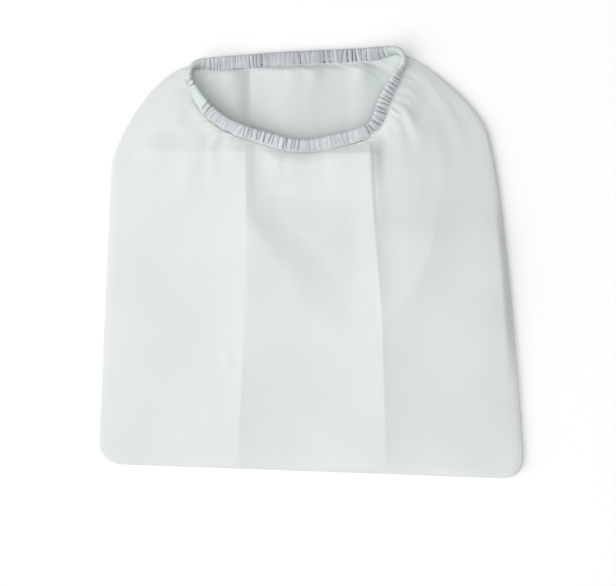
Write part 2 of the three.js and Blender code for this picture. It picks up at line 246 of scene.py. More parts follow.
# A place on the mouth is its distance round it from the left corner: the front lip, then the back one
def front_place(across):
    return front_length * width_share(across)


def back_place(across):
    return mouth.length - back_length * width_share(across)


def upright(place):
    """One at both ends of the mouth, and nought along its lips."""
    away = np.minimum(np.abs(place), np.abs(place - front_length))
    away = np.minimum(away, np.abs(place - mouth.length))
    return bell(away / END_REACH)


def ring_lean(place):
    """The share of the edging's width that goes into its height."""
    p = np.mod(place, mouth.length)
    return lerp(np.where(p < front_length, FRONT_TILT, 0.0), 1.0, upright(p))


def ring_point(place):
    p = np.mod(place, mouth.length)
    plan = mouth.at(np.mod(left_end + p, mouth.length))
    lift = lerp(np.where(p < front_length, FRONT_LIFT, BACK_LIFT), END_LIFT, upright(p))
    # The lips wave up and down a little, the front one more
    turn = 2 * np.pi * p / mouth.length
    wobble = 0.35 * np.sin(9 * turn + 1) + 0.25 * np.sin(17 * turn + 4)
    lift = lift + np.where(p < front_length, 1.0, 0.3) * (1 - upright(p)) * wobble
    return np.concatenate([plan, (lift + EDGING_WIDTH * ring_lean(p))[..., None]], -1)


def ring_frame(place):
    """The rim's point, and the ways down the cloth and into the bag there."""
    p = np.mod(place, mouth.length)
    along = unit(ring_point(place + 0.6) - ring_point(place - 0.6))
    lean = ring_lean(place)
    flat = unit(np.stack([-along[..., 1], along[..., 0]], -1)) * lean[..., None]
    rise = np.where(p < front_length, -1, 1) * np.sqrt(np.maximum(0, 1 - lean**2))
    inward = np.concatenate([flat, rise[..., None]], -1)
    inward = unit(inward - along * np.sum(inward * along, -1, keepdims=True))
    return ring_point(place), unit(np.cross(inward, along)), inward


def section_point(place, width, height):
    at, down, inward = ring_frame(place)
    return at + down * np.asarray(width)[..., None] + inward * np.asarray(height)[..., None]


def lip_point(place_of, across, width=CLOTH_EXIT):
    return section_point(place_of(across), width + 0 * across, CLOTH_OFFSET + 0 * across)


def seam_outline():
    """The seam from above: a U from the left corner of the mouth round the bottom to the right one."""
    corners = lip_point(front_place, np.array([0.0, 1.0]))[:, :2]
    sides = []
    for k, (sign, end) in enumerate(zip((-1, 1), corners)):
        bottom = np.array([sign * BAG_WIDTH / 2, -sign * BOTTOM_SLOPE / 2])
        shoulder = np.array([
            sign * SHOULDER_WIDTH / 2 + SHOULDER_SHIFT,
            SHOULDER_HEIGHT + sign * SHOULDER_TILT / 2,
        ])
        bow = lerp(bottom, shoulder, BOW_PLACE) + np.array([sign * SIDE_BOW[k], 0])
        climb = end[1] - shoulder[1]
        low = shoulder + unit(shoulder - bow) * SHOULDER_RUN[k] * climb
        high = end + climb * np.array([sign * CORNER_RUN[k][0], CORNER_RUN[k][1]])
        sides.append((bottom, bow, shoulder, low, high, end))
    (b0, w0, s0, low0, high0, e0), (b1, w1, s1, low1, high1, e1) = sides

    def near(corner, other):
        return corner + unit(other - corner) * CORNER_RADIUS

    return Outline([
        bezier([e0, high0, low0, s0]),
        bezier([s0, w0, near(b0, w0)]),
        bezier([near(b0, w0), b0, near(b0, b1)]),
        bezier([near(b0, b1), near(b1, b0)]),
        bezier([near(b1, b0), b1, near(b1, w1)]),
        bezier([near(b1, w1), w1, s1]),
        bezier([s1, low1, high1, e1]),
    ])


seam = seam_outline()
left_bottom = (seam.ends[1] + seam.ends[2]) / 2
right_bottom = (seam.ends[3] + seam.ends[4]) / 2


def seam_left(up):
    return left_bottom * (1 - up)


def seam_right(up):
    return lerp(right_bottom, seam.length, up)


def seam_bottom(across):
    return lerp(left_bottom, right_bottom, width_share(across))


def panel_plan(place_of, across, up):
    """Points of a panel from above, between its bottom, its two side seams and its lip.

    The columns at 1/3 and 2/3 are drawn over to the packing folds.
    """
    plan = plain_plan(place_of, across, up)
    shift = np.zeros(across.shape)
    for fold, line in ((1 / 3, LEFT_FOLD), (2 / 3, RIGHT_FOLD)):
        x, y = np.moveaxis(plain_plan(place_of, np.full(across.shape, fold), up), -1, 0)
        shift += (fold_x(line, y) - x) * np.clip(1 - 3 * np.abs(across - fold), 0, 1)
    plan[..., 0] += shift * window((0, 0.02), (0.93, 1.0), up)
    return plan


def plain_plan(place_of, across, up):
    side = width_share(across)[..., None]
    rise = up[..., None]
    lip = lip_point(place_of, across)[..., :2]
    ends = lip_point(place_of, np.array([0.0, 1.0]))[:, :2]
    lengthwise = lerp(seam.at(seam_bottom(across)), lip, rise)
    sideways = lerp(seam.at(seam_left(up)), seam.at(seam_right(up)), side)
    low = lerp(seam.at(left_bottom), seam.at(right_bottom), side)
    high = lerp(ends[0], ends[1], side)
    return lengthwise + sideways - lerp(low, high, rise)


def gather_stops(step, spread, seed):
    """The gaps round the mouth between runs of gathers, which are small at the edging and larger below."""
    rng = np.random.default_rng(seed)
    count = int(round(mouth.length / step))
    sizes = 1 + spread * rng.uniform(-1, 1, count)
    return np.concatenate([[0.0], np.cumsum(sizes) / sizes.sum()]) * mouth.length


rib_stops = gather_stops(RIB_STEP, 0.5, 5)


def round_mouth(rows, place):
    return table(rows, np.mod(place, mouth.length))


# How deep the gathers are round the mouth: places, and shares of the full depth there
GATHERS = (
    # The front lip
    (0, 0.25), (4, 0.3), (5, 1.3), (11, 1.3), (13, 0.25), (24, 0.25), (26, 1.5), (30, 1.5), (32, 0.6),
    (38, 0.8), (42, 0.2), (57, 0.25), (60, 1.5), (74, 1.4), (78, 0.8), (86, 0.8), (89, 1.5), (98, 1.3),
    (101, 0.2),
    # The right end
    (142, 0.2), (145, 1.6), (152, 0.7), (158, 1.2), (190, 0.8), (200, 0.25), (217, 0.25),
    # The back lip
    (220, 0.6), (229, 0.7), (232, 1.4), (250, 1.3), (252, 0.5), (257, 0.5), (259, 1.4), (263, 1.3),
    (265, 0.2), (277, 0.2), (279, 1.1), (281, 1.0), (283, 0.2), (303, 0.2), (305, 1.4), (316, 1.3),
    (318, 0.2), (322, 0.3), (324, 0.7), (336, 0.5), (340, 0.9), (350, 0.8), (354, 0.3), (362, 0.25),
)
DEEPEST_GAP = 1.05
rib_gaps = chance.uniform(0.4, 1.0, len(rib_stops))
rib_gaps = np.minimum(DEEPEST_GAP, rib_gaps * round_mouth(GATHERS, rib_stops))
rib_gaps[-1] = rib_gaps[0]

# How much paler the thread looks round the mouth, and how far plain cloth covers it there
PALE_THREAD = (
    (0, 0), (40, 0), (60, 0.1), (160, 0.1), (166, 0.3), (194, 0.4), (200, 0.2), (222, 0), (245, 0),
    (262, -0.05), (305, -0.05), (322, 0.1), (345, 0.2), (362, 0),
)
PLAIN_CLOTH = (
    (0, 1), (26, 1), (30, 0.5), (44, 0), (200, 0), (205, 1), (216, 1), (219, 0), (349, 0), (353, 1),
    (362, 1),
)


def rib_sink(place):
    """How far the band is drawn in, as a share of the full depth: deepest in the gaps."""
    p = np.mod(place, mouth.length)
    k = np.clip(np.searchsorted(rib_stops, p, "right") - 1, 0, len(rib_stops) - 2)
    t = (p - rib_stops[k]) / (rib_stops[k + 1] - rib_stops[k])
    gap = 1 - np.abs(np.sin(np.pi * t)) ** RIB_SHARPNESS
    return gap * lerp(rib_gaps[k], rib_gaps[k + 1], t)


# The puckers of three sizes: steps in ribs, how uneven they are, heights, reaches and seeds
SMALL_PUCKERS = (2.1, 0.3, 0.9, 7.0, 11)
MIDDLE_PUCKERS = (4.6, 0.4, 1.5, 18.0, 21)
LARGE_PUCKERS = (9, 0.35, 1.6, 36.0, 31)

# How strong they are round the mouth: places, and shares there
PUCKER_SHARES = (
    (0, 0.7), (16, 1.1), (30, 1.4), (62, 1.1), (72, 0.7), (84, 0.15), (146, 0.1), (158, 0.7),
    (166, 1.0), (196, 0.85), (206, 0.6), (230, 0.9), (345, 0.8), (362, 0.7),
)


def pucker(place, away, size):
    """Puckers of one size: a crest between every two stops, each with its own height and reach."""
    ribs, spread, height, reach, seed = size
    step = ribs * RIB_STEP
    stops = gather_stops(step, spread, seed)
    rng = np.random.default_rng(seed + 1)
    heights = rng.uniform(0.25, 1.0, len(stops))
    reaches = reach * rng.uniform(0.5, 1.5, len(stops))
    # The crests wander a little to either side on their way down the cloth
    drift = 0.12 * step * np.sin(away / reach * 3 + place * 0.11)
    p = np.mod(place + drift, mouth.length)
    k = np.clip(np.searchsorted(stops, p, "right") - 1, 0, len(stops) - 2)
    t = (p - stops[k]) / (stops[k + 1] - stops[k])
    wave = (0.5 - 0.5 * np.cos(2 * np.pi * t)) ** 1.25
    start = 1 - np.exp(-away / (0.12 * reach))
    return height * heights[k] * wave * start * np.exp(-((away / reaches[k]) ** 1.4))


def gathers(place, away):
    """How far the cloth is pushed out at a distance from the edging."""
    share = round_mouth(PUCKER_SHARES, place)
    small = pucker(place, away, SMALL_PUCKERS) * np.minimum(1.1, 0.3 + 0.7 * share)
    larger = pucker(place, away, MIDDLE_PUCKERS) + pucker(place, away, LARGE_PUCKERS)
    return small + larger * share


# How the front panel rises from each side seam to the fold: at once, evenly, and close to the fold
LEFT_RISE = (0.8, 6.4, 2.8)
RIGHT_RISE = (1.6, 8.6, 1.2)
MIDDLE_SAG = 1.5  # beside the left fold, between the two


def across_profile(across):
    """Height of the front panel above its seams, in thirds: up to both folds and down between."""
    left = np.clip(3 * across, 0, 1)
    right = np.clip(3 * (1 - across), 0, 1)
    middle = np.clip(3 * across - 1, 0, 1)
    at_once, evenly, late = LEFT_RISE
    rise_left = at_once * (1 - (1 - left) ** 12) + evenly * left + late * left**5
    at_once, evenly, late = RIGHT_RISE
    rise_right = at_once * (1 - (1 - right) ** 22) + evenly * right + late * right**14
    climb = sum(RIGHT_RISE) - sum(LEFT_RISE) + MIDDLE_SAG
    between = sum(LEFT_RISE) - MIDDLE_SAG * (1 - np.exp(-middle / 0.12)) + climb * middle**3
    return np.where(across < 1 / 3, rise_left, np.where(across > 2 / 3, rise_right, between))


def loft_share(x, y, up):
    """The share of that height, from the bottom seam up to the lip."""
    low = y + (BOTTOM_SLOPE / BAG_WIDTH) * x
    rise = 0.3 * (1 - np.exp(-low / 3)) + 0.7 * (1 - np.exp(-low / 32))
    return np.maximum(0, rise) * (1 - up**8)


# Each mark is let in and out over its rows up the bag or its span across it

# The long cross crease, where the mouth was folded over
CREASE_START = (-129.0, 227.5)
CREASE_SLOPE = 0.0162
CREASE_HEIGHT = 1.3
CREASE_FALL = (8.0, 5.0)  # how far it reaches down and up the cloth
CREASE_SPAN = ((-131, -112), (41, 50))

# The short one between the folds, and the cloth that rises from it
SHORT_CREASE = 193.0
SHORT_SLOPE = 0.02
SHORT_RUN = 33.0
SHORT_HEIGHT = 3.3
SHORT_SPAN = ((-38, -22), (40, 53))

# The bulge beside the left fold; its crest is seen from above, down from the fold
BULGE_CREST = bezier([(-45.4, 190), (-45, 168), (-22, 150), (-12, 128), (-6, 112), (10, 98)], 60)
FOLD_HEIGHT = 1.4
BULGE_HEIGHT = 2.4
BULGE_RUN = 11.6
BULGE_SLOPE = 0.02
BULGE_ROWS = ((55, 128), (168, 190))

# The dent past the crest: places up the bag with its widths, and with its shares of the full drop
DENT_WIDTHS = ((100, 30), (118, 35), (140, 38), (166, 31), (190, 18), (226, 12))
DENT_SHARES = ((96, 0.3), (112, 0.62), (132, 0.95), (160, 1), (190, 1), (226, 0.8))
DENT_DROP = 0.55  # a share of the bulge
DENT_DEPTH = 0.3
DENT_FADE = 38.0
DENT_ROWS = ((94, 122), (222, 229))

# The drop beside the left fold, above the bulge
DROP_DEPTH = 1.1
DROP_ROWS = ((176, 200), (226, 236))
DROP_SPAN = ((-1, 8), (20, 80))  # from the fold

# The ridge along the right fold, and the groove beside it
RIDGE_HEIGHT = 1.0
RIDGE_SHOULDER = 1.18
RIDGE_FADE = 7.5
RIDGE_ROWS = ((106, 146), (176, 204))
GROOVE_DEPTH = 0.35
GROOVE_PLACE = 1.6
GROOVE_HALF = 1.5
GROOVE_ROWS = ((166, 196), (228, 236))

# The raised lobe beside the right fold, inside an arc of the right third
ARC_MIDDLE = (-28.0, 188.0)
ARC_RADIUS = 116.0
LOBE_START = 46.0
LOBE_SLOPE = 0.088
LOBE_FADE = 60.0
LOBE_ROWS = ((80, 104), (158, 204))

# Shallow dents on the shoulders, above the long crease: places, half widths and depths
SHOULDER_DENTS = (
    (-86, 250, 7, 9, 0.9),
    (-99, 239, 10, 5, 0.8),
    (-75, 238, 6, 6, 0.8),
    (-66, 249, 5, 6, 0.6),
    (80, 258, 7, 9, 0.6),
    (64, 240, 8, 6, 0.6),
)

# The tuft beside the left fold, which lies aslant
TUFT_PLACE = (-60.0, 80.0)
TUFT_WAY = (0.9, 0.45)
TUFT_HALVES = (3.0, 6.0)
TUFT_HEIGHT = 0.55


def humps(x, y, rows):
    """Soft bumps, in rows of their places, half widths and heights."""
    return sum(
        high * bell((x - at_x) / wide) * bell((y - at_y) / tall)
        for at_x, at_y, wide, tall, high in rows
    )


def long_crease(x, y):
    line = CREASE_START[1] - CREASE_SLOPE * (x - CREASE_START[0])
    off = np.sqrt((y - line) ** 2 + 0.4)
    fade = np.exp(-off / np.where(y < line, *CREASE_FALL))
    return CREASE_HEIGHT * window(*CREASE_SPAN, x) * fade


def short_rise(x, y):
    """From the short crease between the folds, the cloth rises towards the lip."""
    climb = np.clip((y + SHORT_SLOPE * x - SHORT_CREASE) / SHORT_RUN, 0, 1)
    return SHORT_HEIGHT * window(*SHORT_SPAN, x) * climb


def left_fold_marks(x, y):
    """Along the left fold the cloth bulges over to the right; past the crest it drops into a dent."""
    fold = fold_x(LEFT_FOLD, y)
    off = x - fold
    crest = np.maximum(0, np.interp(y, BULGE_CREST[::-1, 1], BULGE_CREST[::-1, 0]) - fold)
    climb = np.clip(off, 0, crest)
    bulge = FOLD_HEIGHT * smooth(-21, 3, off)
    bulge += BULGE_HEIGHT * (1 - np.exp(-climb / BULGE_RUN)) + BULGE_SLOPE * climb
    past = np.maximum(0, off - crest)
    width = table(DENT_WIDTHS, y)
    drop = smooth(0, 1, past / width) * table(DENT_SHARES, y)
    fade = np.exp(-np.maximum(0, past - width) / DENT_FADE)
    height = window(*BULGE_ROWS, y) * bulge * (1 - DENT_DROP * drop)
    height -= DENT_DEPTH * window(*DENT_ROWS, y) * drop * fade
    # Above the bulge the cloth drops at once beside the fold
    height -= DROP_DEPTH * window(*DROP_ROWS, y) * window(*DROP_SPAN, off)
    return height


def right_fold_marks(x, y):
    """The right fold stands a little proud, with a groove beside its upper part."""
    off = x - fold_x(RIGHT_FOLD, y)
    ridge = np.where(off < 0, RIDGE_SHOULDER * smooth(-19, 6, off), np.exp(-off / RIDGE_FADE))
    groove = bell((off - GROOVE_PLACE) / GROOVE_HALF)
    height = RIDGE_HEIGHT * window(*RIDGE_ROWS, y) * ridge
    return height - GROOVE_DEPTH * window(*GROOVE_ROWS, y) * groove


def lobe(x, y):
    """The cloth climbs evenly from the right fold to the arc, and falls off slowly past it."""
    below = np.clip(y - ARC_MIDDLE[1], 1 - ARC_RADIUS, 0)
    edge = ARC_MIDDLE[0] + np.sqrt(ARC_RADIUS**2 - below**2)
    reach = np.maximum(0.5, edge - LOBE_START)
    climb = np.clip((x - LOBE_START) / reach, 0, 1)
    share = np.where(x < edge, climb, np.exp(-np.maximum(0, x - edge) / LOBE_FADE))
    return LOBE_SLOPE * reach * share * window(*LOBE_ROWS, y)


def tuft(x, y):
    right, up = x - TUFT_PLACE[0], y - TUFT_PLACE[1]
    along = right * TUFT_WAY[0] + up * TUFT_WAY[1]
    across = up * TUFT_WAY[0] - right * TUFT_WAY[1]
    return TUFT_HEIGHT * bell(along / TUFT_HALVES[0]) * bell(across / TUFT_HALVES[1])


def packing_marks(x, y):
    """What the packing left on the front panel, apart from the rise at the lip."""
    folds = left_fold_marks(x, y) + right_fold_marks(x, y)
    return long_crease(x, y) + folds + lobe(x, y) + tuft(x, y) - humps(x, y, SHOULDER_DENTS)


def side_mask(across):
    """Nought at both side seams, and one just inside them."""
    return smooth(0, 0.03, across) * smooth(0, 0.03, 1 - across)


def grid_normals(points):
    rows = np.gradient(points, axis=0)
    columns = np.gradient(points, axis=1)
    return unit(np.cross(columns, rows))


def lip_distance(points, place_of, across):
    return np.linalg.norm(points[..., :2] - lip_point(place_of, across)[..., :2], axis=-1)


def front_surface(across, up):
    plan = panel_plan(front_place, across, up)
    x, y = plan[..., 0], plan[..., 1]
    lip = lip_point(front_place, across)
    z = lerp(FRONT_Z, lip[..., 2], up**FRONT_CLIMB) + across_profile(across) * loft_share(x, y, up)
    inside = side_mask(across) * smooth(0, 0.05, up)
    z = z + packing_marks(x, y) * inside * (1 - smooth(0.96, 1, up))
    z = z + short_rise(x, y) * inside * (1 - smooth(0.91, 1, up))
    # The cloth is a little rumpled all over
    z = z + inside * (0.22 * waves(x, y, 75, 3) + 0.07 * waves(x, y, 24, 4))
    points = np.stack([x, y, z], -1)
    away = lip_distance(points, front_place, across)
    push = gathers(front_place(across), away) * side_mask(across)
    return points + grid_normals(points) * push[..., None]


# The folds stand up from the back panel below the mouth
BACK_FOLD_HEIGHT = 2.0
BACK_FOLD_FALL = (3.5, 6.0)  # to the left and to the right
MOUTH_ROWS = (212, 232)  # between these the folds give way to the swell in the mouth

# The cloth that shows in the mouth; two of its swells have a place, a half width and a height
LEFT_SWELL = 0.9
MIDDLE_SWELL = (-14.0, 20.0, 2.6)
RIGHT_SWELL = 2.5
RIGHT_CREST = (34.0, 6.0, 0.5)

# The fuller puckers just below the back edging: places, half widths and heights
BACK_GATHER_SHARE = 0.6
BACK_PUCKERS = (
    (-59, 283, 7, 8, 1.3),
    (-27, 286, 6, 7, 1.0),
    (-12, 285, 7, 8, 1.5),
    (2, 286, 5, 8, 1.2),
    (36, 286, 7, 9, 2.1),
)


def back_folds(x, y):
    height = np.zeros(x.shape)
    for line in (LEFT_FOLD, RIGHT_FOLD):
        off = x - fold_x(line, y)
        height += BACK_FOLD_HEIGHT * np.exp(-np.sqrt(off**2 + 0.5) / np.where(off < 0, *BACK_FOLD_FALL))
    return height


def mouth_swell(x, y):
    """The back panel swells up to the left fold, sinks into it, swells again and falls to the right."""
    off = x - fold_x(LEFT_FOLD, y)
    fold = np.where(off < 0, bell(off / 6.5), np.exp(-off / 9))
    at, half, high = MIDDLE_SWELL
    left = np.where(off < 0, LEFT_SWELL * np.clip((x + 88) / 34, 0, 1), high * bell((x - at) / half))
    at, half, high = RIGHT_CREST
    right = RIGHT_SWELL * (1 - smooth(37, 57, x)) + high * bell((x - at) / half)
    return (left + right) * (1 - fold)


def back_surface(across, up):
    plan = panel_plan(back_place, across, up)
    x, y = plan[..., 0], plan[..., 1]
    lip = lip_point(back_place, across)
    z = lerp(BACK_Z, lip[..., 2], up**BACK_CLIMB)
    inside = side_mask(across) * smooth(0, 0.05, up)
    marks = lerp(back_folds(x, y), mouth_swell(x, y), smooth(*MOUTH_ROWS, y))
    z = z + marks * inside * (1 - smooth(0.96, 1, up))
    z = z + inside * 0.18 * (1 + waves(x, y, 60, 8)) * (1 - smooth(0.9, 1, up))
    points = np.stack([x, y, z], -1)
    away = lip_distance(points, back_place, across)
    push = BACK_GATHER_SHARE * gathers(back_place(across), away) * side_mask(across)
    push = push + humps(x, y, BACK_PUCKERS)
    return points + np.array([0, 0, 1.0]) * push[..., None]


def panel_columns(count):
    """Places across a panel, closer beside the folds and the side seams."""
    t = np.linspace(0, 1, count // 3 + 1)
    t = t - 0.3 * np.sin(2 * np.pi * t) / (2 * np.pi)
    return np.concatenate([(k + t[:-1]) / 3 for k in range(3)] + [[1.0]])


def panel_rows(count):
    """Places up a panel, closer at the bottom seam and towards the lip."""
    ends = [0, 0.003, 0.007, 0.012, 0.018]
    share = int(count * 0.36)
    body = np.linspace(0.026, 0.7, share, endpoint=False)
    upper = np.linspace(0.7, 0.93, share, endpoint=False)
    near = lerp(0.93, 1.0, np.linspace(0, 1, count - len(ends) - 2 * share) ** 0.85)
    return np.concatenate([ends, body, upper, near])


COLUMNS = panel_columns(288)
ROWS = panel_rows(140)


def to_frame(points):
    return (np.asarray(points, float) + np.array([*SEAM_MIDDLE, 0.0])) / 1000.0


def mesh_piece(name, points, faces, uv, material, marks=()):
    """A mesh in the frame, with its cut coordinates in metres and a value at each point for each mark."""
    mesh = bpy.data.meshes.new(name)
    mesh.from_pydata(to_frame(points).tolist(), [], np.asarray(faces).tolist())
    mesh.polygons.foreach_set("use_smooth", [True] * len(mesh.polygons))
    layer = mesh.uv_layers.new(name="cut")
    corners = np.empty(len(mesh.loops), dtype=np.int32)
    mesh.loops.foreach_get("vertex_index", corners)
    layer.data.foreach_set("uv", (np.asarray(uv, float) / 1000)[corners].ravel())
    mesh.materials.append(material)
    for mark, values in marks:
        layer = mesh.attributes.new(mark, "FLOAT", "POINT")
        layer.data.foreach_set("value", np.asarray(values, np.float32))
    mesh.validate()
    obj = bpy.data.objects.new(name, mesh)
    bpy.context.scene.collection.objects.link(obj)
    return obj


def strip_faces(near, far):
    """Faces between two rows of vertex numbers."""
    return np.stack([near[:-1], near[1:], far[1:], far[:-1]], -1)


def allowance_rows(run, rise, side):
    """The rows of cloth that turn in at the seam: how far inwards and how high each lies."""
    end_z = np.where(run < seam.length / 2, *lip_point(front_place, np.array([0.0, 1.0]))[:, 2])
    front_z = lerp(FRONT_Z, end_z, rise**FRONT_CLIMB)
    back_z = lerp(BACK_Z, end_z, rise**BACK_CLIMB)
    own_z = front_z if side > 0 else back_z
    half = np.abs(front_z - back_z) / 2
    radius = (half - np.minimum(ALLOWANCE_GAP, 0.4 * half)) / 2
    rows = []
    for angle in np.linspace(0, np.pi, 7)[1:]:
        rows.append((-radius * np.sin(angle), own_z - side * radius * (1 - np.cos(angle))))
    # The allowance narrows to nothing towards the mouth
    allowance = SEAM_ALLOWANCE * (1 - smooth(0.82, 0.93, rise))
    for share in (0.12, 1.0):
        rows.append((allowance * share, own_z - side * 2 * radius))
    return rows


def panel_piece(name, surface, place_of, side, material):
    """One panel: its face, the cloth inside the edging, and the allowance turned in at the seam."""
    across, up = np.meshgrid(COLUMNS, ROWS)
    lip_gap = (CLOTH / 2 + 0.3) / front_length
    inner = lerp(lip_gap, 1 - lip_gap, COLUMNS)
    widths = np.linspace(CLOTH_EXIT, RAW_EDGE, 4)[1:]
    hidden = np.stack([lip_point(place_of, inner, width) for width in widths])
    grid = np.concatenate([surface(across, up), hidden])
    number = np.arange(grid.shape[0] * grid.shape[1]).reshape(grid.shape[:2])
    cut_rows = np.concatenate([ROWS * BAG_LENGTH, BAG_LENGTH + CLOTH_EXIT - widths])
    points = [grid.reshape(-1, 3)]
    uv = [np.stack(np.meshgrid(COLUMNS * BAG_WIDTH, cut_rows), -1).reshape(-1, 2)]
    faces = [strip_faces(near, far) for near, far in zip(number, number[1:])]

    # The border runs down the left side, along the bottom and up the right side
    sides_up = ROWS[1:]
    sides = number[1 : len(ROWS)]
    before = np.concatenate([sides[::-1, 0], number[0], sides[:, -1]])
    run = np.concatenate([seam_left(sides_up)[::-1], seam_bottom(COLUMNS), seam_right(sides_up)])
    rise = np.concatenate([sides_up[::-1], 0 * COLUMNS, sides_up])
    way = unit(seam.at(np.minimum(run + 0.5, seam.length)) - seam.at(np.maximum(run - 0.5, 0)))
    inwards = np.stack([-way[:, 1], way[:, 0]], -1)
    total = number.size
    for step, (inset, z) in enumerate(allowance_rows(run, rise, side)):
        row = np.arange(len(run)) + total
        total += len(run)
        points.append(np.column_stack([seam.at(run) + inwards * inset[:, None], z]))
        uv.append(np.column_stack([run, np.full(len(run), -2.0 - step)]))
        faces.append(strip_faces(row, before))
        before = row
    faces = np.concatenate(faces)
    if side < 0:
        faces = faces[:, ::-1]
    piece = mesh_piece(name, np.concatenate(points), faces, np.concatenate(uv), material)
    thick = piece.modifiers.new("cloth", "SOLIDIFY")
    thick.thickness = CLOTH / 1000
    thick.offset = 0
    return piece


# The edging: a rounded band over the raw edge, sunk in between its gathers
BAND_POINTS = 26
BAND_POWER = 2.9  # how square its section is
BAND_SKIN = 3.4  # millimetres of its skin to a radian
RIB_POINTS = np.array([0, 0.05, 0.12, 0.22, 0.36, 0.5, 0.64, 0.78, 0.88, 0.95])


def band_point(place, angle, proud=0.0):
    """A point of the band's skin; the angle goes from its lower edge over the outer face and round."""
    c, s = np.cos(angle), np.sin(angle)
    width = EDGING_WIDTH / 2 * (1 + np.sign(c) * np.abs(c) ** (2 / BAND_POWER))
    # The gathers lean a little to either side
    skew = 0.1 * np.sin(place * 0.31) + 0.07 * np.sin(place * 0.83 + 2)
    spot = place + skew * (width - EDGING_WIDTH / 2)
    # They are shallower at the rim, which they draw down, and the band is thinner at its lower edge
    sink = rib_sink(place) * RIB_DEPTH
    depth = 0.45 + 0.55 * smooth(0, 3, width)
    rim = width + 0.35 * sink * (1 - smooth(0, 2.5, width))
    thin = smooth(EDGING_WIDTH - 5, EDGING_WIDTH, width)
    half = EDGING_HALF * (1 + 0.06 * np.sin(place * 0.45)) * (1 - 0.45 * thin)
    half = half - sink * depth * (1 - 0.8 * thin)
    height = -np.sign(s) * np.abs(s) ** (2 / BAND_POWER) * (half + proud)
    rim = rim - proud * np.where(c < 0, np.abs(c) ** 3, 0)
    return section_point(spot, rim, height)


def edging_piece(material):
    places = (rib_stops[:-1, None] + np.diff(rib_stops)[:, None] * RIB_POINTS).ravel()
    angles = np.linspace(0, 2 * np.pi, BAND_POINTS, endpoint=False)
    place, angle = np.meshgrid(places, angles, indexing="ij")
    grid = band_point(place, angle)
    number = np.arange(grid.shape[0] * grid.shape[1]).reshape(grid.shape[:2])
    after = np.roll(number, -1, axis=0)
    faces = np.stack([number, after, np.roll(after, -1, axis=1), np.roll(number, -1, axis=1)], -1)
    faces = faces.reshape(-1, 4)[:, ::-1]
    uv = np.stack([place, angle * BAND_SKIN], -1).reshape(-1, 2)
    place = place.ravel()
    # The gap mark is painted shade, darkest in the gaps between the gathers
    marks = (
        ("gap", smooth(0.12, 0.5, rib_sink(place))),
        ("pale", round_mouth(PALE_THREAD, place)),
        ("bare", round_mouth(PLAIN_CLOTH, place)),
    )
    return mesh_piece("edging_band", grid.reshape(-1, 3), faces, uv, material, marks)


def tube(path, radius, sides, closed=False):
    """Points and faces of a round thread along a path."""
    if closed:
        way = unit(np.roll(path, -1, axis=0) - np.roll(path, 1, axis=0))
    else:
        way = unit(np.gradient(path, axis=0))
    helper = unit(np.cross(way, np.array([0.31, 0.52, 0.8])))
    other = np.cross(way, helper)
    turn = np.linspace(0, 2 * np.pi, sides, endpoint=False)
    ring = helper[:, None] * np.cos(turn)[:, None] + other[:, None] * np.sin(turn)[:, None]
    points = path[:, None] + ring * np.asarray(radius).reshape(-1, 1, 1)
    number = np.arange(len(path) * sides).reshape(len(path), sides)
    after = np.roll(number, -1, axis=0)
    if not closed:
        number, after = number[:-1], after[:-1]
    faces = np.stack([number, np.roll(number, -1, axis=1), np.roll(after, -1, axis=1), after], -1)
    return points.reshape(-1, 3), faces.reshape(-1, 4)


# The thread: a few loops to a gather, and a line of stitches near the band's lower edge
LOOP_STEP = 0.95
LOOP_POINTS = 26
KNOT_HEIGHT = 0.12
STITCH_STEP = 2.4
STITCH_LENGTH = 2.1
STITCH_ANGLE = 0.62
STITCH_POINTS = 7
THREAD_SIDES = 5
# Painted highlight: some loops on the deep gathers are coloured paler, as if their crowns caught the light
HIGHLIGHT_LOOPS = 0.35  # how much paler some loops on the deep gathers look


def loop_places():
    """Where the loops are wound, away from the gaps between the gathers."""
    stops = []
    for low, high in zip(rib_stops, rib_stops[1:]):
        count = max(1, int(round((high - low) / LOOP_STEP)))
        inner = (np.arange(count) + 0.5 + chance.uniform(-0.2, 0.2, count)) / count
        stops.append(low + (high - low) * (0.17 + 0.66 * inner))
    return np.concatenate(stops)


